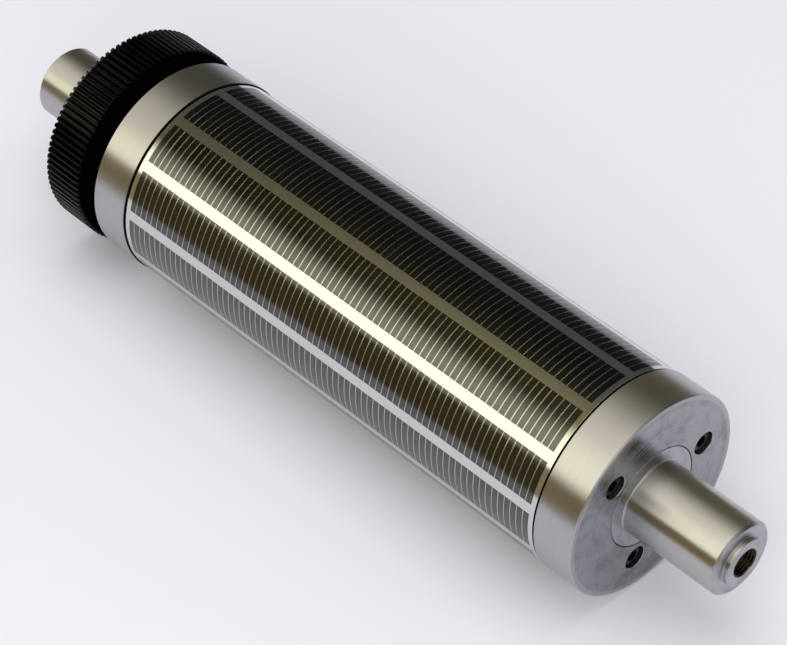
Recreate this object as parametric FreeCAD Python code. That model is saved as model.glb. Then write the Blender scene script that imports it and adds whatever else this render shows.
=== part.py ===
import FreeCAD, Part
import os
from math import acos, cos, pi, radians, sin, sqrt, tan

# Magnetic roller for a rotary die station. It lies along X with the operator's end towards +X,
# Z is up, and the origin is on the axis, halfway along the magnetic face. All sizes are in mm.

# Gear teeth. The repeat of the roller is its tooth count times the pitch along the rolling circle.
tooth_count = 96
circular_pitch = 3.175
pressure_angle = 20.0
addendum_in_modules = 1.0
dedendum_in_modules = 1.25
backlash = 0.06
gear_width = 22.5

# The magnetic face lies under the rolling circle by the thickness of the die sheet it carries.
die_undercut = 0.48

# One row is a stack of magnets with a thin steel pole plate between each pair.
magnet_width = 20.0
magnet_depth = 8.0
magnet_length = 3.0
plate_thickness = 0.5
magnets_in_row = 71
least_land_width = 5.0
row_end_land = 2.5
glue_gap = 0.05
first_row_angle = 4.1

# Relief groove between the magnetic face and each bearer ring.
groove_width = 1.0
groove_depth = 1.0

# Bearer rings run on the rings of the cylinder above and set the gap to it.
bearer_width = 20.5
bearer_chamfer = 0.6

# The black spacer ring keeps the gear clear of the bearer.
spacer_width = 10.5
spacer_relief = 0.25

# Shaft, turned from one bar with the cylinder.
hub_diameter = 48.0
journal_diameter = 35.0
operator_journal_length = 48.0
drive_journal_length = 45.0
journal_chamfer = 1.2
seat_clearance = 0.02

# Tip of the operator's journal: a raised boss with a tapped hole, M14 by 1.5.
boss_diameter = 22.5
boss_height = 2.4
tapped_hole_diameter = 12.5
tapped_hole_depth = 35.0
tapped_hole_chamfer = 0.4
drill_point_angle = 118.0

# Tip of the drive journal: a lathe centre.
centre_mouth_diameter = 8.0
centre_angle = 60.0

# M6 socket head cap screws, sunk below the faces that they hold.
screw_diameter = 6.0
screw_head_diameter = 10.0
screw_head_height = 6.0
screw_socket_across_flats = 5.0
screw_socket_depth = 3.0
screw_clearance = 0.3
thread_clearance = 0.02
tap_run_out = 3.0
screws_in_circle = 3
screw_circle_diameter = 64.4
first_screw_angle = 16.3
head_clearance = 0.5
head_sunk = 1.5
bearer_screw_length = 25.0
gear_screw_length = 55.0

# A dowel pin times the gear to the drive bearer.
dowel_diameter = 6.0
dowel_length = 40.0
dowel_sunk = 1.5

# Radii that follow from the teeth.
module = circular_pitch / pi
pitch_radius = tooth_count * module / 2
tip_radius = pitch_radius + addendum_in_modules * module
root_radius = pitch_radius - dedendum_in_modules * module
base_radius = pitch_radius * cos(radians(pressure_angle))
bearer_radius = pitch_radius
face_radius = pitch_radius - die_undercut
spacer_radius = bearer_radius - spacer_relief
groove_radius = face_radius - groove_depth
pocket_floor = face_radius - magnet_depth
hub_radius = hub_diameter / 2
journal_radius = journal_diameter / 2
bore_radius = hub_radius + seat_clearance

# Places along the axis, from the middle of the magnetic face outwards.
row_length = magnets_in_row * magnet_length + (magnets_in_row - 1) * plate_thickness
face_end = row_length / 2 + row_end_land
core_end = face_end + groove_width
bearer_end = core_end + bearer_width
spacer_end = bearer_end + spacer_width
gear_end = spacer_end + gear_width
operator_tip = bearer_end + operator_journal_length
boss_tip = operator_tip + boss_height
drive_tip = gear_end + drive_journal_length

# As many rows as the circumference holds with at least this much land between two of them.
row_count = int(2 * pi * face_radius / (magnet_width + least_land_width))

# Screw circles. The gear's screws are turned half a step from those at the operator's end.
screw_step = 360.0 / screws_in_circle
screw_circle_radius = screw_circle_diameter / 2
counterbore_radius = screw_head_diameter / 2 + head_clearance
counterbore_depth = screw_head_height + head_sunk
gear_screw_angle = first_screw_angle + screw_step / 2
dowel_angle = first_screw_angle + screw_step / 4

AXIS = FreeCAD.Vector(1, 0, 0)
ORIGIN = FreeCAD.Vector(0, 0, 0)


def turned(outline):
    """A solid turned about X from the corners of its half section, each given as (x, radius)."""
    corners = [FreeCAD.Vector(x, radius, 0) for x, radius in outline]
    half_section = Part.Face(Part.makePolygon(corners + corners[:1]))
    return half_section.revolve(ORIGIN, AXIS, 360)


def ring(start, end, bore, radius):
    """A plain turned ring from one x to the other."""
    return turned([(start, bore), (start, radius), (end, radius), (end, bore)])


def rod(start, end, radius):
    """A plain round bar on the axis between two places in x."""
    return Part.makeCylinder(radius, end - start, FreeCAD.Vector(start, 0, 0), AXIS)


def on_circle(solid, radius, angle):
    """The solid moved out from the axis and turned to its place on a circle."""
    placed = solid.copy()
    placed.translate(FreeCAD.Vector(0, radius, 0))
    placed.rotate(ORIGIN, AXIS, angle)
    return placed


def circle_of(solid, radius, first_angle, count):
    """Copies of the solid spread evenly round a circle."""
    return [on_circle(solid, radius, first_angle + 360.0 / count * index) for index in range(count)]


def mirrored(solid):
    """The solid as it is at the other end of the roller."""
    return solid.mirror(ORIGIN, AXIS)


def pocket(width, floor, length):
    """The straight-sided slot that one row of magnets is glued into, about +Y."""
    reach = bearer_radius - floor
    corner = FreeCAD.Vector(-length / 2, floor, -width / 2)
    return Part.makeBox(length, reach, width, corner)


def magnet_row():
    """Magnets and pole plates of one row as one bar, ground round with the face, about +Y."""
    half_width = magnet_width / 2
    shoulder = sqrt(face_radius**2 - half_width**2)
    floor = pocket_floor + glue_gap
    start = -row_length / 2
    low_left = FreeCAD.Vector(start, floor, -half_width)
    low_right = FreeCAD.Vector(start, floor, half_width)
    high_right = FreeCAD.Vector(start, shoulder, half_width)
    high_left = FreeCAD.Vector(start, shoulder, -half_width)
    crown = FreeCAD.Vector(start, face_radius, 0)
    outline = Part.Wire([
        Part.LineSegment(low_left, low_right).toShape(),
        Part.LineSegment(low_right, high_right).toShape(),
        Part.Arc(high_right, crown, high_left).toShape(),
        Part.LineSegment(high_left, low_left).toShape(),
    ])
    return Part.Face(outline).extrude(FreeCAD.Vector(row_length, 0, 0))


def cap_screw(seat, length):
    """A socket head cap screw with its head on the seat and its shank towards -X."""
    head_radius = screw_head_diameter / 2
    top = seat + screw_head_height
    blank = turned([
        (seat - length, 0),
        (seat - length, screw_diameter / 2),
        (seat, screw_diameter / 2),
        (seat, head_radius),
        (top, head_radius),
        (top, 0),
    ])
    corner_reach = screw_socket_across_flats / 2 / cos(pi / 6)
    corners = []
    for index in range(7):
        turn = index * pi / 3
        corners.append(FreeCAD.Vector(top, corner_reach * cos(turn), corner_reach * sin(turn)))
    socket = Part.Face(Part.makePolygon(corners)).extrude(FreeCAD.Vector(-screw_socket_depth, 0, 0))
    return blank.cut(socket)


def screw_hole(seat, face):
    """What a sunk screw needs in the piece that it holds: a shank hole and a counterbore."""
    shank = rod(seat - gear_width - bearer_width, face, screw_diameter / 2 + screw_clearance)
    return shank.fuse(rod(seat, face, counterbore_radius))


def tapped_hole(face, depth):
    """The threaded hole for a screw, from a face towards -X."""
    return rod(face - depth, face, screw_diameter / 2 + thread_clearance)


def involute(angle):
    """The involute function of an angle in radians."""
    return tan(angle) - angle


def flank_point(radius, side, tooth_angle):
    """A point of a tooth's flank at this radius, on one side of the tooth."""
    half_pitch_angle = pi / (2 * tooth_count) - backlash / (4 * pitch_radius)
    spread = half_pitch_angle + involute(radians(pressure_angle))
    turn = tooth_angle + side * (spread - involute(acos(base_radius / radius)))
    return FreeCAD.Vector(0, radius * cos(turn), radius * sin(turn))


def gear_blank():
    """The toothed disc before boring.

    Each flank is an arc through three involute points. The crest and the valley are so narrow
    that a straight line keeps them round to two thousandths of a millimetre.
    """
    middle_radius = (root_radius + tip_radius) / 2
    tooth_step = 2 * pi / tooth_count
    edges = []
    for tooth in range(tooth_count):
        angle = tooth * tooth_step
        rising = [flank_point(r, -1, angle) for r in (root_radius, middle_radius, tip_radius)]
        falling = [flank_point(r, 1, angle) for r in (tip_radius, middle_radius, root_radius)]
        next_root = flank_point(root_radius, -1, (tooth + 1) % tooth_count * tooth_step)
        edges.append(Part.Arc(rising[0], rising[1], rising[2]).toShape())
        edges.append(Part.LineSegment(rising[2], falling[0]).toShape())
        edges.append(Part.Arc(falling[0], falling[1], falling[2]).toShape())
        edges.append(Part.LineSegment(falling[2], next_root).toShape())
    disc = Part.Face(Part.Wire(edges)).extrude(FreeCAD.Vector(gear_width, 0, 0))
    disc.translate(FreeCAD.Vector(-gear_end, 0, 0))
    return disc


def cylinder_core():
    """Cylinder, hubs and journals turned from one bar, with a slot milled for each row."""
    solid = turned([
        (-drive_tip, 0),
        (-drive_tip, journal_radius - journal_chamfer),
        (-drive_tip + journal_chamfer, journal_radius),
        (-gear_end, journal_radius),
        (-gear_end, hub_radius),
        (-core_end, hub_radius),
        (-core_end, groove_radius),
        (-face_end, groove_radius),
        (-face_end, face_radius),
        (face_end, face_radius),
        (face_end, groove_radius),
        (core_end, groove_radius),
        (core_end, hub_radius),
        (bearer_end, hub_radius),
        (bearer_end, journal_radius),
        (operator_tip - journal_chamfer, journal_radius),
        (operator_tip, journal_radius - journal_chamfer),
        (operator_tip, boss_diameter / 2),
        (boss_tip, boss_diameter / 2),
        (boss_tip, 0),
    ])
    slot = pocket(magnet_width + 2 * glue_gap, pocket_floor, row_length + 2 * glue_gap)
    cuts = circle_of(slot, 0, first_row_angle, row_count)
    hole = tapped_hole(core_end, bearer_screw_reach + tap_run_out)
    cuts += circle_of(hole, screw_circle_radius, first_screw_angle, screws_in_circle)
    gear_hole = mirrored(tapped_hole(core_end, gear_screw_reach + tap_run_out))
    cuts += circle_of(gear_hole, screw_circle_radius, gear_screw_angle, screws_in_circle)
    cuts.append(operator_tip_hole())
    cuts.append(drive_tip_centre())
    return solid.cut(cuts)


def operator_tip_hole():
    """The tapped hole in the operator's journal, with its chamfered mouth and drilled bottom."""
    radius = tapped_hole_diameter / 2
    bottom = boss_tip - tapped_hole_depth
    return turned([
        (bottom - radius / tan(radians(drill_point_angle / 2)), 0),
        (bottom, radius),
        (boss_tip - tapped_hole_chamfer, radius),
        (boss_tip, radius + tapped_hole_chamfer),
        (boss_tip, 0),
    ])


def drive_tip_centre():
    """The lathe centre in the drive journal."""
    mouth = centre_mouth_diameter / 2
    depth = mouth / tan(radians(centre_angle / 2))
    return Part.makeCone(mouth, 0, depth, FreeCAD.Vector(-drive_tip, 0, 0), AXIS)


def bearer_ring():
    """The operator's bearer ring, with sunk holes for the screws that hold it to the core."""
    body = turned([
        (core_end, bore_radius),
        (core_end, bearer_radius),
        (bearer_end - bearer_chamfer, bearer_radius),
        (bearer_end, bearer_radius - bearer_chamfer),
        (bearer_end, bore_radius),
    ])
    hole = screw_hole(bearer_seat, bearer_end)
    return body.cut(circle_of(hole, screw_circle_radius, first_screw_angle, screws_in_circle))


def drive_bearer_ring():
    """The drive bearer ring, which the gear's long screws pass through and the dowel enters."""
    body = ring(core_end, bearer_end, bore_radius, bearer_radius)
    hole = rod(core_end, bearer_end, screw_diameter / 2 + screw_clearance)
    cuts = circle_of(hole, screw_circle_radius, gear_screw_angle, screws_in_circle)
    dowel_hole = rod(dowel_inner_end, bearer_end, dowel_diameter / 2 + seat_clearance)
    cuts.append(on_circle(dowel_hole, screw_circle_radius, dowel_angle))
    return mirrored(body.cut(cuts))


def gear_spacer():
    """The black ring between the drive bearer and the gear."""
    body = ring(bearer_end, spacer_end, bore_radius, spacer_radius)
    hole = rod(bearer_end, spacer_end, screw_diameter / 2 + screw_clearance)
    cuts = circle_of(hole, screw_circle_radius, gear_screw_angle, screws_in_circle)
    dowel_hole = rod(bearer_end, spacer_end, dowel_diameter / 2 + seat_clearance)
    cuts.append(on_circle(dowel_hole, screw_circle_radius, dowel_angle))
    return mirrored(body.cut(cuts))


def drive_gear():
    """The spur gear, bored to sit on the hub, with a sunk hole for each screw."""
    teeth = gear_blank()
    bore = mirrored(rod(spacer_end, gear_end, bore_radius))
    hole = mirrored(screw_hole(gear_seat, gear_end))
    cuts = circle_of(hole, screw_circle_radius, gear_screw_angle, screws_in_circle)
    dowel_hole = mirrored(rod(spacer_end, gear_end, dowel_diameter / 2 + seat_clearance))
    cuts.append(on_circle(dowel_hole, screw_circle_radius, dowel_angle))
    cuts.append(bore)
    return teeth.cut(cuts)


def dowel_pin():
    """The hardened pin that times the gear."""
    pin = rod(dowel_inner_end, dowel_outer_end, dowel_diameter / 2)
    return on_circle(mirrored(pin), screw_circle_radius, dowel_angle)


# Where the screw heads sit and how far each screw reaches into the piece that it pulls on.
bearer_seat = bearer_end - counterbore_depth
gear_seat = gear_end - counterbore_depth
bearer_screw_reach = bearer_screw_length - (bearer_seat - core_end)
gear_screw_reach = gear_screw_length - (gear_seat - core_end)
dowel_outer_end = gear_end - dowel_sunk
dowel_inner_end = dowel_outer_end - dowel_length

bearer_screw = cap_screw(bearer_seat, bearer_screw_length)
gear_screw = mirrored(cap_screw(gear_seat, gear_screw_length))

pieces = {
    "cylinder_core": cylinder_core(),
    "operator_bearer_ring": bearer_ring(),
    "drive_bearer_ring": drive_bearer_ring(),
    "gear_spacer": gear_spacer(),
    "drive_gear": drive_gear(),
    "gear_dowel": dowel_pin(),
    "operator_bearer_screws": Part.Compound(
        circle_of(bearer_screw, screw_circle_radius, first_screw_angle, screws_in_circle)
    ),
    "gear_screws": Part.Compound(
        circle_of(gear_screw, screw_circle_radius, gear_screw_angle, screws_in_circle)
    ),
}
for number, row in enumerate(circle_of(magnet_row(), 0, first_row_angle, row_count), start=1):
    pieces[f"magnet_row_{number:02d}"] = row

os.makedirs("parts", exist_ok=True)
for name, shape in pieces.items():
    shape.exportStep(f"parts/{name}.step")
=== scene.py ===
from math import acos, asin, atan2, ceil, cos, hypot, pi, radians, sin, tan

import bmesh
import bpy
from mathutils import Matrix, Vector


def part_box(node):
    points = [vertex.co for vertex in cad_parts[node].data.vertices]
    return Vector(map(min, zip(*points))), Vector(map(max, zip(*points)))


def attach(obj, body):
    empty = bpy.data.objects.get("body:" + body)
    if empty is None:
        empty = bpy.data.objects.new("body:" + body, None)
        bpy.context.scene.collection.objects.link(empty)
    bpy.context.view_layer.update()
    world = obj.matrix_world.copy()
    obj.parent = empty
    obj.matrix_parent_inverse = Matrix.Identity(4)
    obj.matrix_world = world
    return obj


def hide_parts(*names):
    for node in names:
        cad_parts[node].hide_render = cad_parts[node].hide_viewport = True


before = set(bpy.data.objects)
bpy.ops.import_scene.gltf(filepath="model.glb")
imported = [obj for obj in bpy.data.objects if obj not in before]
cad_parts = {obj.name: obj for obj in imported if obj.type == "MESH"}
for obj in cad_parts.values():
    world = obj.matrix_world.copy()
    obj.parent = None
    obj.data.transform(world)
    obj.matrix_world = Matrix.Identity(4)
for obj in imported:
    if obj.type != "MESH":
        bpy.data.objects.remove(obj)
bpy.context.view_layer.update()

# Cylinder core. One steel bar turned and ground between centres: the cylinder with a milled
# slot for each magnet row, a relief groove at each end of the face, a hub for each bearer ring
# and a journal at each end. The operator's journal ends in a raised boss with a tapped hole.
mm = 0.001
groove_width = 1.0 * mm
groove_depth = 1.0 * mm
groove_corner = 0.15 * mm
hub_radius = 24.0 * mm
journal_radius = 17.5 * mm
journal_chamfer = 1.2 * mm
chamfer_outer_round = 0.3 * mm
chamfer_inner_round = 0.2 * mm
journal_fillet = 0.8 * mm
edge_break = 0.25 * mm
face_edge_break = 0.05 * mm
boss_radius = 11.25 * mm
boss_height = 2.4 * mm
boss_fillet = 0.4 * mm
tip_hole_radius = 6.25 * mm
tip_hole_mouth = 0.7 * mm
tip_hole_depth = 35.0 * mm
thread_pitch = 1.5 * mm
thread_depth = 0.75 * mm
thread_inset = 0.02 * mm
thread_run_out = 4.0 * mm
thread_past_mouth = 0.3 * mm
drill_point_angle = radians(118)
centre_mouth_radius = 4.0 * mm
centre_half_angle = radians(30)
slot_width = 20.1 * mm
slot_depth = 8.0 * mm
slot_overrun = 0.05 * mm
cut_past = 1.0 * mm
core_steps = 360


def reach(node):
    """The largest distance from the axis that a node has."""
    return max(hypot(v.co.y, v.co.z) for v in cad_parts[node].data.vertices)


def heading(node):
    """The angle about the axis, from +Y towards +Z, at which a node lies."""
    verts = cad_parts[node].data.vertices
    return atan2(sum(v.co.z for v in verts), sum(v.co.y for v in verts))


ring_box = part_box("operator_bearer_ring")
gear_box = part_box("drive_gear")
core_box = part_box("cylinder_core")
row_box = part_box("magnet_row_01")
row_nodes = sorted(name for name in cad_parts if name.startswith("magnet_row_"))
face_radius = reach("magnet_row_01")
core_end = ring_box[0].x
bearer_end = ring_box[1].x
face_end = core_end - groove_width
groove_radius = face_radius - groove_depth
gear_end = -gear_box[0].x
boss_tip = core_box[1].x
operator_tip = boss_tip - boss_height
drive_tip = -core_box[0].x


def rounded(corners, pieces=5):
    """An outline of (x, radius) points from corners given as (x, radius, fillet).

    A narrow straight band beside each fillet keeps the shading of the long faces straight.
    """
    band = 0.04 * mm
    points = []
    for index, (x, y, fillet) in enumerate(corners):
        here = Vector((x, y))
        if fillet == 0 or index in (0, len(corners) - 1):
            points.append(here)
            continue
        before = (Vector(corners[index - 1][:2]) - here).normalized()
        after = (Vector(corners[index + 1][:2]) - here).normalized()
        half = before.angle(after) / 2
        centre = here + (before + after).normalized() * (fillet / sin(half))
        reach_back = fillet / tan(half)
        first = (here + before * reach_back - centre).normalized()
        last = (here + after * reach_back - centre).normalized()
        points.append(here + before * (reach_back + band))
        for step in range(pieces + 1):
            points.append(centre + fillet * first.slerp(last, step / pieces).normalized())
        points.append(here + after * (reach_back + band))
    return points


def finished(name, shell, sharp_angle=28):
    """An object from a shell of faces, shaded smooth with its corners kept crisp."""
    bmesh.ops.recalc_face_normals(shell, faces=shell.faces)
    mesh = bpy.data.meshes.new(name)
    shell.to_mesh(mesh)
    shell.free()
    return shown(name, mesh, sharp_angle)


def shown(name, mesh, sharp_angle=28):
    """An object in the scene that shows this mesh."""
    mesh.shade_smooth()
    mesh.set_sharp_from_angle(angle=radians(sharp_angle))
    piece = bpy.data.objects.new(name, mesh)
    bpy.context.scene.collection.objects.link(piece)
    return piece


def turned(name, outline, steps=core_steps, closed=False):
    """A piece turned about X from the (x, radius) points of its half section."""
    shell = bmesh.new()
    loops = []
    for x, radius in outline:
        turns = [2 * pi * step / steps for step in range(steps if radius else 1)]
        loops.append([shell.verts.new((x, radius * cos(a), radius * sin(a))) for a in turns])
    for one, two in zip(loops, loops[1:] + loops[:1] if closed else loops[1:]):
        for step in range(steps):
            corners = [one[step % len(one)], one[(step + 1) % len(one)]]
            corners += [two[(step + 1) % len(two)], two[step % len(two)]]
            shell.faces.new(dict.fromkeys(corners))
    return finished(name, shell)


def about_axis(piece, angle):
    """The piece turned about X, with the turn put into its mesh."""
    piece.data.transform(Matrix.Rotation(angle, 4, "X"))
    return piece


def cut(piece, cutters, sharp_angle=28):
    """The piece with the cutters taken out of it and then thrown away."""
    for cutter in cutters:
        tool = piece.modifiers.new("cut", "BOOLEAN")
        tool.operation = "DIFFERENCE"
        tool.solver = "EXACT"
        tool.object = cutter
    carved = bpy.data.meshes.new_from_object(
        piece.evaluated_get(bpy.context.evaluated_depsgraph_get())
    )
    piece.modifiers.clear()
    plain = piece.data
    piece.data = carved
    bpy.data.meshes.remove(plain)
    for cutter in cutters:
        bpy.data.objects.remove(cutter)
    carved.shade_smooth()
    carved.set_sharp_from_angle(angle=radians(sharp_angle))
    return piece


def box_cutter(low, high):
    """A plain box between two corners, for cutting with."""
    shell = bmesh.new()
    size = Vector(high) - Vector(low)
    place = Matrix.Translation((Vector(high) + Vector(low)) / 2) @ Matrix.Diagonal((*size, 1))
    bmesh.ops.create_cube(shell, size=1, matrix=place)
    return finished("cutter", shell)


def tap(start, end, minor_radius, depth, pitch, rings=8, steps=60):
    """A cutter with the form of a threaded hole from one x to the other."""
    flank_slope = 2.4
    count = ceil((end - start) / pitch * rings)
    shell = bmesh.new()
    loops = []
    for index in range(count + 1):
        x = start + (end - start) * index / count
        loop = []
        for step in range(steps):
            share = (x / pitch - step / steps) % 1
            radius = minor_radius + depth * min(1, flank_slope * min(share, 1 - share))
            angle = 2 * pi * step / steps
            loop.append(shell.verts.new((x, radius * cos(angle), radius * sin(angle))))
        loops.append(loop)
    for one, two in zip(loops, loops[1:]):
        for step in range(steps):
            beside = (step + 1) % steps
            shell.faces.new((one[step], one[beside], two[beside], two[step]))
    shell.faces.new(loops[0])
    shell.faces.new(loops[-1])
    return finished("cutter", shell)


core = turned("cylinder_and_journals", rounded([
    (-drive_tip + centre_mouth_radius / tan(centre_half_angle), 0, 0),
    (-drive_tip, centre_mouth_radius, 0),
    (-drive_tip, journal_radius - journal_chamfer, chamfer_inner_round),
    (-drive_tip + journal_chamfer, journal_radius, chamfer_outer_round),
    (-gear_end, journal_radius, journal_fillet),
    (-gear_end, hub_radius, edge_break),
    (-core_end, hub_radius, 0),
    (-core_end, groove_radius, groove_corner),
    (-face_end, groove_radius, groove_corner),
    (-face_end, face_radius, face_edge_break),
    (face_end, face_radius, face_edge_break),
    (face_end, groove_radius, groove_corner),
    (core_end, groove_radius, groove_corner),
    (core_end, hub_radius, 0),
    (bearer_end, hub_radius, edge_break),
    (bearer_end, journal_radius, journal_fillet),
    (operator_tip - journal_chamfer, journal_radius, chamfer_outer_round),
    (operator_tip, journal_radius - journal_chamfer, chamfer_inner_round),
    (operator_tip, boss_radius, boss_fillet),
    (boss_tip, boss_radius, edge_break),
    (boss_tip, tip_hole_radius + tip_hole_mouth, 0),
    (boss_tip - tip_hole_mouth, tip_hole_radius, 0),
    (boss_tip - tip_hole_depth, tip_hole_radius, 0),
    (boss_tip - tip_hole_depth - tip_hole_radius / tan(drill_point_angle / 2), 0, 0),
]))

slots = []
for node in row_nodes:
    slot = box_cutter(
        (row_box[0].x - slot_overrun, face_radius - slot_depth, -slot_width / 2),
        (row_box[1].x + slot_overrun, face_radius + 2 * cut_past, slot_width / 2),
    )
    slots.append(about_axis(slot, heading(node)))
tip_tap = tap(
    boss_tip - tip_hole_depth + thread_run_out, boss_tip + thread_past_mouth,
    tip_hole_radius - thread_inset, thread_depth, thread_pitch,
)
cut(core, slots + [tip_tap])


def material(name, colour, metallic, roughness, others=None):
    """A new material with these values on its shader. Returns it with its tree and shader."""
    made = bpy.data.materials.new(name)
    made.use_nodes = True
    shader = made.node_tree.nodes["Principled BSDF"]
    shader.inputs["Base Color"].default_value = (*colour, 1)
    shader.inputs["Metallic"].default_value = metallic
    shader.inputs["Roughness"].default_value = roughness
    for socket, value in (others or {}).items():
        shader.inputs[socket].default_value = value
    return made, made.node_tree, shader


def wired(tree, kind, inputs, **settings):
    """A new node with its settings, and its inputs linked or given a value."""
    made = tree.nodes.new("ShaderNode" + kind)
    for setting, value in settings.items():
        setattr(made, setting, value)
    for socket, source in inputs.items():
        if isinstance(source, bpy.types.NodeSocket):
            tree.links.new(source, made.inputs[socket])
        else:
            made.inputs[socket].default_value = source
    return made


def turned_noise(tree, across, round_about, detail=3.0):
    """Noise drawn out round the axis, as a turning or grinding tool leaves it."""
    place = wired(tree, "TexCoord", {}).outputs["Object"]
    apart = wired(tree, "SeparateXYZ", {"Vector": place})
    from_axis = wired(tree, "CombineXYZ", {"Y": apart.outputs["Y"], "Z": apart.outputs["Z"]})
    radius = wired(tree, "VectorMath", {0: from_axis.outputs[0]}, operation="LENGTH")
    stretch = wired(
        tree, "VectorMath", {0: place, 1: (across, round_about, round_about)},
        operation="MULTIPLY",
    )
    depth = wired(tree, "Math", {0: radius.outputs["Value"], 1: across}, operation="MULTIPLY")
    noise = wired(
        tree, "TexNoise",
        {"Vector": stretch.outputs[0], "W": depth.outputs[0], "Scale": 1.0, "Detail": detail},
        noise_dimensions="4D",
    )
    return noise.outputs["Fac"]


def spread(tree, source, low, high, new_low=0.0, new_high=1.0):
    """A value mapped smoothly from one range to another."""
    mapped = wired(
        tree, "MapRange",
        {"Value": source, "From Min": low, "From Max": high, "To Min": new_low, "To Max": new_high},
        interpolation_type="SMOOTHSTEP",
    )
    return mapped.outputs["Result"]


def toned(colour, share):
    """A colour made darker or lighter by one share, with its alpha."""
    return (*(share * part for part in colour), 1)


def turned_steel(name, colour, roughness, brushed, mark_size, mark_depth,
                 unevenness=0.05, bare=1.0, smudged=0.0):
    """Bright steel with fine marks round the axis, which spread its gloss across them.

    Smudged is how much random dark smudges darken it.
    """
    made, tree, shader = material(
        name, colour, bare, roughness, {"Anisotropic": brushed, "Anisotropic Rotation": 0.25},
    )
    marks = turned_noise(tree, across=1 / mark_size, round_about=9.0)
    bands = turned_noise(tree, across=1 / (9 * mark_size), round_about=5.0, detail=2.0)
    rough = spread(tree, bands, 0.3, 0.7, roughness - unevenness, roughness + unevenness)
    tree.links.new(rough, shader.inputs["Roughness"])
    shade = wired(tree, "Mix", {
        "Factor": spread(tree, marks, 0.35, 0.7),
        "A": (*colour, 1),
        "B": toned(colour, 0.93),
    }, data_type="RGBA")
    if smudged:
        cloud = wired(tree, "TexNoise", {
            "Vector": wired(tree, "TexCoord", {}).outputs["Object"],
            "Scale": 48.0, "Detail": 5.0, "Roughness": 0.6, "Distortion": 1.6,
        })
        shade = wired(tree, "Mix", {
            "Factor": spread(tree, cloud.outputs["Fac"], 0.42, 0.68, 0.0, smudged),
            "A": shade.outputs["Result"],
            "B": (0.10, 0.10, 0.10, 1),
        }, data_type="RGBA")
    bump = wired(tree, "Bump", {"Height": marks, "Strength": 1.0, "Distance": mark_depth})
    tree.links.new(bump.outputs["Normal"], shader.inputs["Normal"])
    along = wired(tree, "Tangent", {}, direction_type="RADIAL", axis="X")
    tree.links.new(along.outputs["Tangent"], shader.inputs["Tangent"])
    tree.links.new(shade.outputs["Result"], shader.inputs["Base Color"])
    return made


def painted(piece, finish, where=None):
    """Gives the piece this material, on all its faces or on those that a test picks."""
    piece.data.materials.append(finish)
    index = len(piece.data.materials) - 1
    for face in piece.data.polygons:
        if where is None or where(face):
            face.material_index = index


def end_or_chamfer(face):
    """True for a face that looks along the axis, or halfway between along and out from it."""
    return abs(face.normal.x) > 0.65


def on_cylinder(face):
    """True for a face on the ground outside of the cylinder."""
    return hypot(face.center.y, face.center.z) > groove_radius + groove_depth / 2


def blacked_steel(name, colour, roughness, gloss, mark_size, mark_depth):
    """Steel with a black oxide finish under a thin film of oil. Made very dark, it also serves as
    painted shade in grooves and hollows.
    """
    made, tree, shader = material(name, colour, 0.0, roughness, {"Specular IOR Level": gloss})
    marks = turned_noise(tree, across=1 / mark_size, round_about=20.0)
    cloud = wired(tree, "TexNoise", {
        "Vector": wired(tree, "TexCoord", {}).outputs["Object"], "Scale": 90.0, "Detail": 4.0,
    })
    shade = wired(tree, "Mix", {
        "Factor": spread(tree, cloud.outputs["Fac"], 0.35, 0.7),
        "A": (*colour, 1),
        "B": toned(colour, 1.9),
    }, data_type="RGBA")
    tree.links.new(shade.outputs["Result"], shader.inputs["Base Color"])
    rough = spread(tree, cloud.outputs["Fac"], 0.3, 0.7, roughness - 0.07, roughness + 0.09)
    tree.links.new(rough, shader.inputs["Roughness"])
    bump = wired(tree, "Bump", {"Height": marks, "Strength": 1.0, "Distance": mark_depth})
    tree.links.new(bump.outputs["Normal"], shader.inputs["Normal"])
    return made


def in_groove(face):
    """True for a face inside one of the two relief grooves."""
    slack = 0.02 * mm
    beside = face_end - slack < abs(face.center.x) < core_end + slack
    return beside and hypot(face.center.y, face.center.z) < face_radius - 5 * slack


def in_tip_hole(face):
    """True for a face of the thread in the operator's tip, or of the drilled hole under it."""
    below_mouth = 0.2 * mm
    drill_point = 10 * mm
    deep = below_mouth < boss_tip - face.center.x < tip_hole_depth + drill_point
    return deep and hypot(face.center.y, face.center.z) < tip_hole_radius + thread_depth


journal_steel = turned_steel(
    "ground_journal_steel", (0.46, 0.455, 0.455), roughness=0.31, brushed=0.9,
    mark_size=0.12 * mm, mark_depth=0.0006 * mm, unevenness=0.02,
)
land_steel = turned_steel(
    "ground_land_steel", (0.61, 0.61, 0.605), roughness=0.09, brushed=0.2,
    mark_size=0.15 * mm, mark_depth=0.0004 * mm, unevenness=0.015, bare=0.95,
)
# Near-black steel in the relief grooves and on the ring ends beside them: painted shade of the
# grooves.
groove_shade_black = blacked_steel(
    "groove_painted_shade_steel", (0.004, 0.004, 0.004), roughness=0.6, gloss=0.05,
    mark_size=0.3 * mm, mark_depth=0.004 * mm,
)
# Dark brown steel for the tapped hole in the operator's tip: painted shade inside the hole.
thread_shade_steel = turned_steel(
    "thread_painted_shade_steel", (0.045, 0.036, 0.022), roughness=0.30, brushed=0.3,
    mark_size=0.15 * mm, mark_depth=0.001 * mm,
)
end_steel = turned_steel(
    "turned_end_steel", (0.41, 0.41, 0.44), roughness=0.30, brushed=0.8,
    mark_size=0.20 * mm, mark_depth=0.002 * mm, smudged=0.3,
)
painted(core, journal_steel)
painted(core, end_steel, end_or_chamfer)
painted(core, land_steel, on_cylinder)
painted(core, groove_shade_black, in_groove)
painted(core, thread_shade_steel, in_tip_hole)
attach(core, "root")
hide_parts("cylinder_core")

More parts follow.
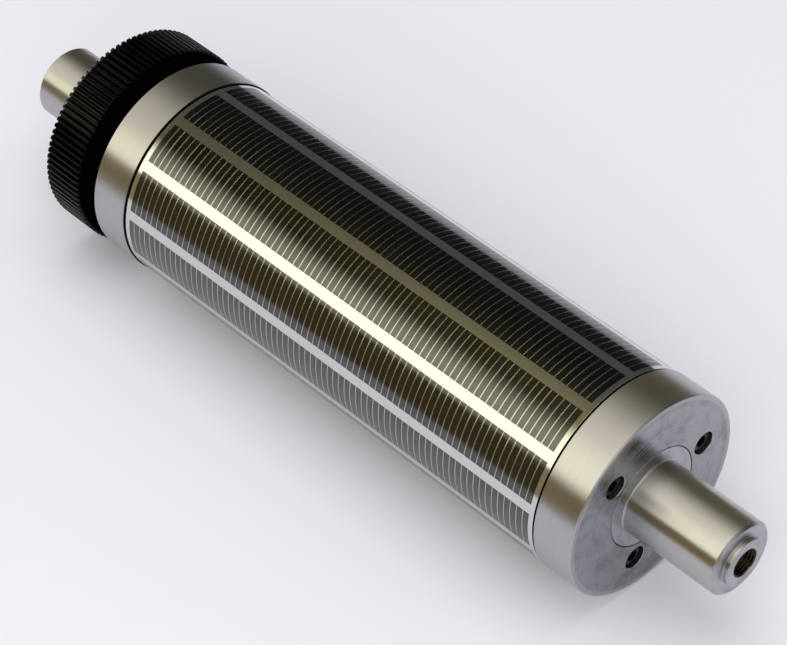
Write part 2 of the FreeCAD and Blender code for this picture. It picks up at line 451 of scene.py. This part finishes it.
# Magnet rows. Each is a stack of black magnets with a thin steel pole plate between each pair,
# glued into its slot and then ground round with the cylinder, so that all of it lies flush.
magnet_width = 20.0 * mm
magnet_length = 3.0 * mm
plate_thickness = 0.5 * mm
glue_gap = 0.05 * mm
magnet_edge = 0.07 * mm
row_length = row_box[1].x - row_box[0].x
magnets_in_row = round((row_length + plate_thickness) / (magnet_length + plate_thickness))
crown_pieces = 18


def crowned_section(shell, x, radius):
    """The section of a row at one x: a flat bottom and straight sides under a round crown."""
    half = magnet_width / 2
    bottom = face_radius - slot_depth + glue_gap
    reach_angle = asin(half / radius)
    loop = [shell.verts.new((x, bottom, half)), shell.verts.new((x, bottom, -half))]
    for step in range(crown_pieces + 1):
        angle = reach_angle * (2 * step / crown_pieces - 1)
        loop.append(shell.verts.new((x, radius * cos(angle), radius * sin(angle))))
    return loop


def crowned_block(shell, start, end, edge):
    """One magnet or plate of a row, about +Y, with its crown's long edges broken."""
    if edge:
        stations = [(start, -edge), (start + edge, 0), (end - edge, 0), (end, -edge)]
    else:
        stations = [(start, 0), (end, 0)]
    loops = [crowned_section(shell, x, face_radius + drop) for x, drop in stations]
    for one, two in zip(loops, loops[1:]):
        for index in range(len(one)):
            beside = (index + 1) % len(one)
            shell.faces.new((one[index], one[beside], two[beside], two[index]))
    shell.faces.new(loops[0])
    shell.faces.new(loops[-1])


def stack(name, count, length, first):
    """Blocks of one length at the step of the row, in one mesh."""
    shell = bmesh.new()
    edge = magnet_edge if length == magnet_length else 0
    for index in range(count):
        start = first + index * (magnet_length + plate_thickness)
        crowned_block(shell, start, start + length, edge)
    return finished(name, shell)


magnet_black, tree, shader = material(
    "ground_magnet_black", (0.002, 0.002, 0.002), metallic=0.0, roughness=0.10,
    others={"IOR": 1.85},
)
own = wired(tree, "NewGeometry", {}).outputs["Random Per Island"]
tint = wired(tree, "ValToRGB", {"Fac": own})
tint.color_ramp.elements[0].color = (0.0020, 0.0011, 0.0006, 1)
tint.color_ramp.elements[1].color = (0.0009, 0.0011, 0.0020, 1)
tint.color_ramp.elements.new(0.3).color = (0.0008, 0.0014, 0.0008, 1)
tint.color_ramp.elements.new(0.55).color = (0.0010, 0.0010, 0.0010, 1)
tint.color_ramp.elements.new(0.8).color = (0.0015, 0.0008, 0.0015, 1)
tree.links.new(tint.outputs["Color"], shader.inputs["Base Color"])
grain = wired(tree, "TexNoise", {
    "Vector": wired(tree, "TexCoord", {}).outputs["Object"], "Scale": 2500.0, "Detail": 3.0,
})
marks = turned_noise(tree, across=1 / (0.18 * mm), round_about=12.0)
rough = wired(tree, "Math", {
    0: spread(tree, grain.outputs["Fac"], 0.35, 0.7, 0.05, 0.13),
    1: spread(tree, own, 0.0, 1.0, 0.0, 0.06),
}, operation="ADD")
tree.links.new(rough.outputs[0], shader.inputs["Roughness"])
bump = wired(tree, "Bump", {"Height": marks, "Strength": 1.0, "Distance": 0.0006 * mm})
tree.links.new(bump.outputs["Normal"], shader.inputs["Normal"])

plate_steel = turned_steel(
    "pole_plate_steel", (0.43, 0.44, 0.47), roughness=0.25, brushed=0.0,
    mark_size=0.15 * mm, mark_depth=0.0005 * mm, unevenness=0.03,
)
magnets = stack("magnets", magnets_in_row, magnet_length, row_box[0].x)
plates = stack("pole_plates", magnets_in_row - 1, plate_thickness, row_box[0].x + magnet_length)
painted(magnets, magnet_black)
painted(plates, plate_steel)
for number, node in enumerate(row_nodes, start=1):
    for first, slot in ((magnets, "magnet_stack"), (plates, "ground_steel")):
        piece = bpy.data.objects.new(f"{first.name}_{number:02d}", first.data.copy())
        bpy.context.scene.collection.objects.link(piece)
        about_axis(piece, heading(node))
        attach(piece, "root")
        if slot == "magnet_stack":
            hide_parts(node)
bpy.data.objects.remove(magnets)
bpy.data.objects.remove(plates)

# Bearer rings. Hardened steel rings, ground and polished outside, which seat on the hubs
# against the cylinder. They run on the rings of the roller above. The operator's ring has three
# counterbored holes for its screws and a small punch mark that shows its timing.
bearer_radius = reach("operator_bearer_ring")
bearer_bore = hub_radius + 0.02 * mm
bearer_chamfer = 0.6 * mm
seat_chamfer = 0.3 * mm
bore_chamfer = 0.45 * mm
rim_width = 2.4 * mm
counterbore_radius = 5.5 * mm
counterbore_depth = 7.5 * mm
screw_clearance_radius = 3.3 * mm
screw_circle_radius = 32.2 * mm
first_screw_degrees = 16.3
screw_angles = [radians(first_screw_degrees + 120 * index) for index in range(3)]
gear_screw_angles = [angle + radians(60) for angle in screw_angles]
punch_radius = 0.9 * mm
punch_depth = 0.5 * mm
punch_waist_radius = 0.54 * mm
punch_waist_depth = 0.35 * mm
punch_steps = 32
punch_angle = radians(351)
punch_circle_radius = 35.6 * mm
fine_steps = 72


def on_circle(piece, radius, angle):
    """The piece moved out from the axis along +Y and then turned about X."""
    piece.data.transform(Matrix.Rotation(angle, 4, "X") @ Matrix.Translation((0, radius, 0)))
    return piece


def hole_cutters(angles, face, into, bottom, counterbored):
    """Cutters for screw holes from a face, with a counterbore where the heads sit."""
    cutters = []
    start = face - into * cut_past
    for angle in angles:
        outline = [(start, 0), (start, screw_clearance_radius)]
        if counterbored:
            seat = face + into * counterbore_depth
            wide = counterbore_radius
            outline = [(start, 0), (start, wide + cut_past + edge_break)]
            outline += [(face + into * edge_break, wide), (seat, wide)]
            outline.append((seat, screw_clearance_radius))
        outline += [(bottom, screw_clearance_radius), (bottom, 0)]
        cutters.append(on_circle(turned("cutter", outline, fine_steps), screw_circle_radius, angle))
    return cutters


def ring_outline(start, end, bore, radius, start_edge, end_edge, bore_edge):
    """The half section of a ring with its outer and bore edges chamfered."""
    return [
        (start, bore), (start, radius - start_edge), (start + start_edge, radius),
        (end - end_edge, radius), (end, radius - end_edge), (end, radius - rim_width),
        (end, bore + bore_edge), (end - bore_edge, bore),
    ]


operator_ring = turned("operator_bearer", ring_outline(
    core_end, bearer_end, bearer_bore, bearer_radius, seat_chamfer, bearer_chamfer, bore_chamfer,
), closed=True)
through = core_end - cut_past
punch = turned("cutter", [
    (bearer_end - punch_depth, 0), (bearer_end - punch_waist_depth, punch_waist_radius),
    (bearer_end, punch_radius), (bearer_end + cut_past, punch_radius), (bearer_end + cut_past, 0),
], punch_steps)
cut(operator_ring, hole_cutters(screw_angles, bearer_end, -1, through, True)
    + [on_circle(punch, punch_circle_radius, punch_angle)])

drive_ring = turned("drive_bearer", ring_outline(
    -bearer_end, -core_end, bearer_bore, bearer_radius, seat_chamfer, seat_chamfer, bore_chamfer,
), closed=True)
cut(drive_ring, hole_cutters(gear_screw_angles, -bearer_end, 1, -through, False))


def faces_end(face):
    """True for a face that looks along the axis."""
    return abs(face.normal.x) > 0.9


def on_rim(face):
    """True for a face of the outer rim of a ring's end, which is painted lighter."""
    return faces_end(face) and hypot(face.center.y, face.center.z) > bearer_radius - rim_width


def beside_groove(face):
    """True for a face at the end of a ring that meets a relief groove."""
    slack = 0.01 * mm
    return abs(face.center.x) < core_end + seat_chamfer + slack


def in_hollow_or_joint(face):
    """True for a face inside a counterbore of the operator's ring, or on its bore's bevel."""
    slack = 0.05 * mm
    from_screws = [hypot(face.center.y - screw_circle_radius * cos(angle),
                         face.center.z - screw_circle_radius * sin(angle)) for angle in screw_angles]
    near_hole = min(from_screws) < counterbore_radius + slack
    near_bore = hypot(face.center.y, face.center.z) < bearer_bore + bore_chamfer
    in_hole = near_hole and face.center.x < bearer_end - edge_break
    return in_hole or (near_bore and face.center.x > bearer_end - bore_chamfer)


bearer_steel = turned_steel(
    "polished_bearer_steel", (0.44, 0.435, 0.45), roughness=0.31, brushed=0.9,
    mark_size=0.12 * mm, mark_depth=0.0006 * mm, unevenness=0.02,
)
bearer_face_steel = turned_steel(
    "turned_bearer_face_steel", (0.33, 0.335, 0.365), roughness=0.27, brushed=0.85,
    mark_size=0.20 * mm, mark_depth=0.002 * mm, unevenness=0.07, smudged=0.45,
)
# The rim of each ring's end has a rougher turned finish, and a lighter colour than the face that is
# a painted sheen.
rim_sheen_steel = turned_steel(
    "turned_rim_painted_sheen_steel", (0.41, 0.41, 0.435), roughness=0.36, brushed=0.8,
    mark_size=0.20 * mm, mark_depth=0.002 * mm,
)
# Near-black steel: painted shade inside the counterbores of the operator's ring, and a dark joint
# line on its bore's bevel round the hub.
hollow_shade_steel = blacked_steel(
    "bored_steel_painted_shade", (0.010, 0.010, 0.011), roughness=0.45, gloss=0.3,
    mark_size=0.3 * mm, mark_depth=0.004 * mm,
)
for ring, node in ((operator_ring, "operator_bearer_ring"), (drive_ring, "drive_bearer_ring")):
    painted(ring, bearer_steel)
    painted(ring, bearer_face_steel, faces_end)
    painted(ring, rim_sheen_steel, on_rim)
    # The ring's end beside the groove gets the groove's painted shade.
    painted(ring, groove_shade_black, beside_groove)
    if ring == operator_ring:
        # Painted shade in the counterbores, and the dark joint line at the bore.
        painted(ring, hollow_shade_steel, in_hollow_or_joint)
    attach(ring, "root")
    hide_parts(node)

# Gear spacer. A plain turned ring of blacked steel that keeps the gear clear of the drive
# bearer. It slides on the hub, and the long gear screws pass through it and clamp it.
spacer_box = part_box("gear_spacer")
spacer_radius = reach("gear_spacer")
spacer_edge = 0.3 * mm
spacer = turned("spacer_ring", ring_outline(
    spacer_box[0].x, spacer_box[1].x, bearer_bore, spacer_radius,
    spacer_edge, spacer_edge, spacer_edge,
), closed=True)
cut(spacer, hole_cutters(
    gear_screw_angles, spacer_box[0].x, 1, spacer_box[1].x + cut_past, False,
))
spacer_black = blacked_steel(
    "blacked_ring_steel", (0.0004, 0.0004, 0.0005), roughness=0.45, gloss=0.0,
    mark_size=0.4 * mm, mark_depth=0.004 * mm,
)
painted(spacer, spacer_black)
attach(spacer, "root")
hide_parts("gear_spacer")

# Drive gear. A blacked spur gear, hobbed from a blank whose corners were turned off first, so
# that each tooth has a small bevel at both ends. It is bored to fit the hub and drilled for
# three long screws and the dowel.
tooth_count = 96
circular_pitch = 3.175 * mm
pressure_angle = radians(20)
backlash = 0.06 * mm
dedendum_in_modules = 1.25
root_fillet = 0.3 * mm
fillet_reach = 0.7
fillet_middle_out = 0.35
fillet_middle_up = 0.25
blank_bevel = 0.8 * mm
flank_pieces = 5
gear_bore_steps = 144
gear_sharp_angle = 24
dowel_angle = screw_angles[0] + radians(30)
dowel_radius = 3.02 * mm
gear_module = circular_pitch / pi
pitch_radius = tooth_count * gear_module / 2
base_radius = pitch_radius * cos(pressure_angle)
tip_radius = reach("drive_gear")
root_radius = pitch_radius - dedendum_in_modules * gear_module
gear_start = -gear_end
gear_stop = gear_box[1].x


def half_tooth_angle(radius):
    """Half the angle that a tooth takes up at this radius, from its involute flanks."""
    rolled = acos(min(1, base_radius / radius))
    at_pitch = pi / (2 * tooth_count) - backlash / (4 * pitch_radius)
    return at_pitch + tan(pressure_angle) - pressure_angle - (tan(rolled) - rolled)


def tooth_profile(top):
    """The (radius, angle) points of one tooth and the valley after it, under this top radius."""
    rise = [root_radius + root_fillet + (top - root_radius - root_fillet) * step / flank_pieces
            for step in range(flank_pieces + 1)]
    step_angle = 2 * pi / tooth_count
    foot = half_tooth_angle(root_radius + root_fillet)
    toe = foot + root_fillet / root_radius * fillet_reach
    curl = (toe - foot) * fillet_middle_out
    middle_radius = root_radius + root_fillet * fillet_middle_up
    points = [(radius, -half_tooth_angle(radius)) for radius in rise]
    points += [(radius, half_tooth_angle(radius)) for radius in reversed(rise)]
    points += [(middle_radius, foot + curl), (root_radius, toe)]
    points += [(root_radius, step_angle - toe), (middle_radius, step_angle - foot - curl)]
    return points


shell = bmesh.new()
loops = []
for x, top in (
    (gear_start, tip_radius - blank_bevel), (gear_start + blank_bevel, tip_radius),
    (gear_stop - blank_bevel, tip_radius), (gear_stop, tip_radius - blank_bevel),
):
    loop = []
    for tooth in range(tooth_count):
        turn = tooth * 2 * pi / tooth_count
        for radius, angle in tooth_profile(top):
            place = (x, radius * cos(turn + angle), radius * sin(turn + angle))
            loop.append(shell.verts.new(place))
    loops.append(loop)
for one, two in zip(loops, loops[1:]):
    for index in range(len(one)):
        beside = (index + 1) % len(one)
        shell.faces.new((one[index], one[beside], two[beside], two[index]))
shell.faces.new(loops[0])
shell.faces.new(loops[-1])
gear = finished("spur_gear", shell, gear_sharp_angle)
bore = turned("cutter", [
    (gear_start - cut_past, 0), (gear_start - cut_past, bearer_bore + cut_past + edge_break),
    (gear_start + edge_break, bearer_bore), (gear_stop + cut_past, bearer_bore),
    (gear_stop + cut_past, 0),
], gear_bore_steps)
dowel_hole = turned("cutter", [
    (gear_start - cut_past, 0), (gear_start - cut_past, dowel_radius),
    (gear_stop + cut_past, dowel_radius), (gear_stop + cut_past, 0),
], fine_steps)
cut(gear, hole_cutters(gear_screw_angles, gear_start, 1, gear_stop + cut_past, True)
    + [bore, on_circle(dowel_hole, screw_circle_radius, dowel_angle)], gear_sharp_angle)
gear_black = blacked_steel(
    "blacked_gear_steel", (0.0006, 0.0006, 0.0009), roughness=0.27, gloss=0.13,
    mark_size=0.4 * mm, mark_depth=0.006 * mm,
)
painted(gear, gear_black)
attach(gear, "root")
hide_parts("drive_gear")

# Gear dowel. A hardened and ground pin, driven in a little below the gear's outer face, through
# the spacer and into the drive bearer. It times the gear. The solid's own shape is right for it.
pin_steel = turned_steel(
    "dowel_pin_steel", (0.56, 0.55, 0.53), roughness=0.22, brushed=0.3,
    mark_size=0.2 * mm, mark_depth=0.002 * mm,
)
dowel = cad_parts["gear_dowel"]
dowel.data.materials.clear()
dowel.data.materials.append(pin_steel)

# Screws. Black socket head cap screws, sunk in counterbores: three short ones hold the
# operator's ring, and three long ones clamp the gear, its spacer and the drive ring.
screw_radius = 3.0 * mm
head_radius = 5.0 * mm
head_height = 6.0 * mm
head_chamfer = 0.5 * mm
head_sunk = 1.5 * mm
socket_flats = 5.0 * mm
socket_depth = 3.0 * mm
socket_point_share = 0.5
socket_chamfer = 0.25 * mm
shank_chamfer = 0.5 * mm
under_head_fillet = 0.2 * mm
head_edge_round = 0.15 * mm
past_head = 0.5 * mm
first_socket_degrees = 8
socket_step_degrees = 17


def cap_screw(top, node_box):
    """One screw about the axis, with its head's top at this x and its shank towards -X."""
    seat = top - head_height
    shank = node_box[1].x - node_box[0].x - head_height
    screw = turned("screw", rounded([
        (seat - shank, 0, 0),
        (seat - shank, screw_radius - shank_chamfer, 0),
        (seat - shank + shank_chamfer, screw_radius, 0),
        (seat, screw_radius, under_head_fillet),
        (seat, head_radius, under_head_fillet),
        (top - head_chamfer, head_radius, head_edge_round),
        (top, head_radius - head_chamfer, head_edge_round),
        (top, 0, 0),
    ], pieces=3), fine_steps)
    across = socket_flats / cos(pi / 6) / 2
    shell = bmesh.new()
    loops = []
    for x in (top + past_head, top - socket_depth):
        loops.append([
            shell.verts.new((x, across * cos(turn * pi / 3), across * sin(turn * pi / 3)))
            for turn in range(6)
        ])
    tip = shell.verts.new((top - socket_depth - across * socket_point_share, 0, 0))
    for turn in range(6):
        beside = (turn + 1) % 6
        shell.faces.new((loops[0][turn], loops[0][beside], loops[1][beside], loops[1][turn]))
        shell.faces.new((loops[1][turn], loops[1][beside], tip))
    shell.faces.new(loops[0])
    hexagon = finished("cutter", shell)
    mouth = turned("cutter", [
        (top + past_head, 0), (top + past_head, across + past_head),
        (top - socket_chamfer, across - socket_chamfer), (top - socket_chamfer, 0),
    ], fine_steps)
    return cut(screw, [hexagon, mouth])


def joined(name, parts):
    """The parts in one mesh."""
    shell = bmesh.new()
    for part in parts:
        shell.from_mesh(part.data)
        bpy.data.objects.remove(part)
    mesh = bpy.data.meshes.new(name)
    shell.to_mesh(mesh)
    shell.free()
    return shown(name, mesh)


def screw_set(name, node, top, angles, flipped):
    """Three like screws on the screw circle, each with its socket turned its own way."""
    screws = []
    for index, angle in enumerate(angles):
        screw = cap_screw(top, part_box(node))
        about_axis(screw, radians(socket_step_degrees * index + first_socket_degrees))
        if flipped:
            screw.data.transform(Matrix.Rotation(pi, 4, "Z"))
        screws.append(on_circle(screw, screw_circle_radius, angle))
    piece = joined(name, screws)
    painted(piece, screw_black)
    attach(piece, "root")
    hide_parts(node)


screw_black = blacked_steel(
    "blacked_screw_steel", (0.003, 0.003, 0.0035), roughness=0.30, gloss=0.3,
    mark_size=0.25 * mm, mark_depth=0.004 * mm,
)
screw_set("ring_screws", "operator_bearer_screws", bearer_end - head_sunk, screw_angles, False)
screw_set("long_gear_screws", "gear_screws", gear_end - head_sunk, gear_screw_angles, True)

# Floor. A plain pale matt sheet, wide enough that none of its edges shows. It lies at the lowest
# reach of the gear's teeth and is not part of the object.
floor_height = -reach("drive_gear")
floor_half = 15.0
floor_mesh = bpy.data.meshes.new("floor")
floor_mesh.from_pydata(
    [(-floor_half, -floor_half, floor_height), (floor_half, -floor_half, floor_height),
     (floor_half, floor_half, floor_height), (-floor_half, floor_half, floor_height)],
    [], [(0, 1, 2, 3)],
)
floor = shown("floor", floor_mesh)
pale_floor, tree, shader = material(
    "pale_floor", (0.86, 0.86, 0.905), metallic=0.0, roughness=0.6,
    others={"Specular IOR Level": 0.2},
)
painted(floor, pale_floor)

# Light tent. A half-round sheet over the roller that only its gloss sees: dark olive overhead,
# cream past a slanting edge, brown at its near foot, and paler beside both ends of the face. A
# low brown card that fades out at the floor stands in front. They are not part of the object.
tent_radius = 1.0
tent_half_length = 4.0
tent_foot = 12
tent_pieces = 48
edge_angle = 130
edge_softness = 28
edge_slant = 27
slant_from = -0.62
slant_along = (-0.65, 0.9)
left_along = (-0.95, -1.25)
right_along = (-0.30, 0.0)
warm_along = (-0.9, -0.4)
camera_side_along = (0.40, 0.62)
far_room_along = (1.25, 1.7)
side_fade_from_middle = (0.5, 1.1)
side_fade = 0.6
overhead_round = (60, 110)
side_rise_round = (42, 108)
side_fall_round = (116, 138)
camera_side_round = (80, 120)
cream_end = 161
cream_end_softness = 6
left_cream_lag = 5
right_cream_lag = 14
dark_middle = -0.62
overhead_colour = (0.042, 0.045, 0.038)
far_warm_colour = (0.080, 0.069, 0.010)
near_warm_colour = (0.225, 0.195, 0.065)
left_dark_colour = (0.34, 0.31, 0.19)
right_dark_colour = (0.50, 0.45, 0.25)
cream_colour = (2.20, 2.15, 1.50)
side_peak_colour = (3.75, 3.55, 3.05)
left_cream_colour = (1.30, 1.28, 1.15)
right_cream_colour = (2.05, 1.98, 1.72)
near_colour = (0.23, 0.17, 0.092)
near_side_colour = (0.27, 0.20, 0.080)
camera_dark_colour = (0.04, 0.04, 0.035)
camera_cream_colour = (0.90, 0.87, 0.78)
far_room_colour = (0.85, 0.83, 0.82)


def glossy_only(piece):
    """A lamp sheet that is seen in reflections and nowhere else."""
    piece.visible_camera = False
    piece.visible_diffuse = False
    piece.visible_transmission = False
    piece.visible_volume_scatter = False
    piece.visible_shadow = False


def glowing(name):
    """A material that only gives out light. Returns it with its tree and its glow."""
    made = bpy.data.materials.new(name)
    made.use_nodes = True
    tree = made.node_tree
    tree.nodes.remove(tree.nodes["Principled BSDF"])
    glow = tree.nodes.new("ShaderNodeEmission")
    tree.links.new(glow.outputs[0], tree.nodes["Material Output"].inputs["Surface"])
    return made, tree, glow


shell = bmesh.new()
arch = []
for index in range(tent_pieces + 1):
    angle = radians(180 - tent_foot) * index / tent_pieces
    y, z = tent_radius * cos(angle), tent_radius * sin(angle)
    arch.append([shell.verts.new((side * tent_half_length, y, z)) for side in (-1, 1)])
for one, two in zip(arch, arch[1:]):
    shell.faces.new((one[0], one[1], two[1], two[0]))
tent = finished("light_tent", shell)


def sum_of(tree, operation, *values):
    """The result of one sum, on numbers or on the results of others."""
    return wired(tree, "Math", dict(enumerate(values)), operation=operation).outputs[0]


def blend(tree, factor, first, second):
    """A glow mixed from two colours or glows."""
    parts = [part if isinstance(part, bpy.types.NodeSocket) else (*part, 1)
             for part in (first, second)]
    mixed = wired(
        tree, "Mix", {"Factor": factor, "A": parts[0], "B": parts[1]}, data_type="RGBA",
    )
    return mixed.outputs["Result"]


tent_glow, tree, glow = glowing("light_tent_glow")
apart = wired(tree, "SeparateXYZ", {"Vector": wired(tree, "TexCoord", {}).outputs["Object"]})
place_along = apart.outputs["X"]
round_angle = sum_of(tree, "ARCTAN2", apart.outputs["Z"], apart.outputs["Y"])
degrees_round = sum_of(tree, "DEGREES", round_angle)
along = wired(tree, "Clamp", {"Value": place_along, "Min": slant_along[0], "Max": slant_along[1]})
slant = sum_of(tree, "MULTIPLY_ADD", along.outputs[0], edge_slant, -slant_from * edge_slant)
slanted = sum_of(tree, "ADD", degrees_round, slant)
lit = spread(tree, slanted, edge_angle - edge_softness / 2, edge_angle + edge_softness / 2)
left = spread(tree, place_along, *left_along)
right = spread(tree, place_along, *right_along)
beside = sum_of(tree, "ADD", left, right)
from_middle = sum_of(tree, "ABSOLUTE", sum_of(tree, "ADD", place_along, -dark_middle))
warm = blend(tree, spread(tree, place_along, *warm_along), far_warm_colour, near_warm_colour)
overhead = blend(tree, spread(tree, degrees_round, *overhead_round), overhead_colour, warm)
middle = blend(tree, lit, overhead, cream_colour)
side_dark = blend(tree, right, left_dark_colour, right_dark_colour)
side_cream = blend(tree, right, left_cream_colour, right_cream_colour)
side_rise = spread(tree, degrees_round, *side_rise_round)
side_fall = spread(tree, degrees_round, *side_fall_round)
fade = spread(tree, from_middle, *side_fade_from_middle, 0.0, side_fade)
sides = blend(tree, side_rise, side_dark, side_peak_colour)
sides = blend(tree, side_fall, sides, side_cream)
sides = blend(tree, fade, sides, (0.0, 0.0, 0.0))
upper = blend(tree, beside, middle, sides)
camera_side = blend(
    tree, spread(tree, degrees_round, *camera_side_round), camera_dark_colour, camera_cream_colour,
)
upper = blend(tree, spread(tree, place_along, *camera_side_along), upper, camera_side)
upper = blend(tree, spread(tree, place_along, *far_room_along), upper, far_room_colour)
lagged = sum_of(tree, "MULTIPLY_ADD", left, -left_cream_lag, degrees_round)
lagged = sum_of(tree, "MULTIPLY_ADD", right, -right_cream_lag, lagged)
half_soft = cream_end_softness / 2
low = spread(tree, lagged, cream_end - half_soft, cream_end + half_soft)
near = blend(tree, beside, near_colour, near_side_colour)
tree.links.new(blend(tree, low, upper, near), glow.inputs["Color"])
painted(tent, tent_glow)
glossy_only(tent)

card_y = -0.232
card_top = 0.077
card_fade = 0.024
card_half = 1.2
card_mesh = bpy.data.meshes.new("low_card")
card_mesh.from_pydata(
    [(-card_half, card_y, floor_height), (card_half, card_y, floor_height),
     (card_half, card_y, card_top), (-card_half, card_y, card_top)],
    [], [(0, 1, 2, 3)],
)
card = shown("low_card", card_mesh)
card_glow, tree, glow = glowing("low_card_glow")
glow.inputs["Color"].default_value = (*near_side_colour, 1)
card_place = wired(tree, "TexCoord", {}).outputs["Object"]
card_height = wired(tree, "SeparateXYZ", {"Vector": card_place}).outputs["Z"]
shown_share = spread(tree, card_height, floor_height, floor_height + card_fade)
clear = wired(tree, "BsdfTransparent", {}).outputs[0]
faded = wired(tree, "MixShader", {0: shown_share, 1: clear, 2: glow.outputs[0]})
tree.links.new(faded.outputs[0], tree.nodes["Material Output"].inputs["Surface"])
painted(card, card_glow)
glossy_only(card)

# Lamps. Two wide soft lamps, one straight above and one in front towards the operator's end, and
# the even light of the room. Together they light the floor at about the level at which a colour
# looks as it is written.
lamp_colour = (1.0, 0.99, 0.97)
room_colour = (0.93, 0.93, 0.96)
room_light = 0.62


def soft_lamp(name, place, energy, wide, high):
    """A wide lamp that looks at the roller and leaves no image of itself in the steel."""
    lamp = bpy.data.lights.new(name, "AREA")
    lamp.shape = "RECTANGLE"
    lamp.size = wide
    lamp.size_y = high
    lamp.energy = energy
    lamp.color = lamp_colour
    holder = bpy.data.objects.new(name, lamp)
    bpy.context.scene.collection.objects.link(holder)
    holder.location = place
    holder.rotation_euler = (-holder.location).to_track_quat("-Z", "Y").to_euler()
    holder.visible_glossy = False


soft_lamp("high_lamp", (0.0, -0.05, 1.40), energy=6.2, wide=1.3, high=1.1)
soft_lamp("front_lamp", (1.60, -2.30, 1.80), energy=48.0, wide=2.8, high=2.0)

room = bpy.data.worlds.new("room")
bpy.context.scene.world = room
room.use_nodes = True
tree = room.node_tree
background = tree.nodes["Background"]
background.inputs["Color"].default_value = (*room_colour, 1)
ray = wired(tree, "LightPath", {})
seen = sum_of(tree, "MAXIMUM", ray.outputs["Is Camera Ray"], ray.outputs["Is Glossy Ray"])
seen = sum_of(tree, "MAXIMUM", seen, ray.outputs["Is Transmission Ray"])
strength = spread(tree, seen, 0.0, 1.0, room_light, 1.0)
tree.links.new(strength, background.inputs["Strength"])

# Camera. It stands where the photograph was taken from, high in front of the roller and beyond
# the operator's end. Its place and lens were fitted to the outlines of the rings and journals.
camera = bpy.data.objects.new("camera", bpy.data.cameras.new("camera"))
bpy.context.scene.collection.objects.link(camera)
camera.location = Vector((675.92, -656.72, 896.33)) * mm
aim = Vector((0.65, -4.3, 0.0)) * mm
camera.rotation_euler = (aim - camera.location).to_track_quat("-Z", "Y").to_euler()
camera.data.sensor_width = 36.0
camera.data.lens = 137.06
bpy.context.scene.camera = camera
bpy.context.scene.view_settings.view_transform = "Standard"
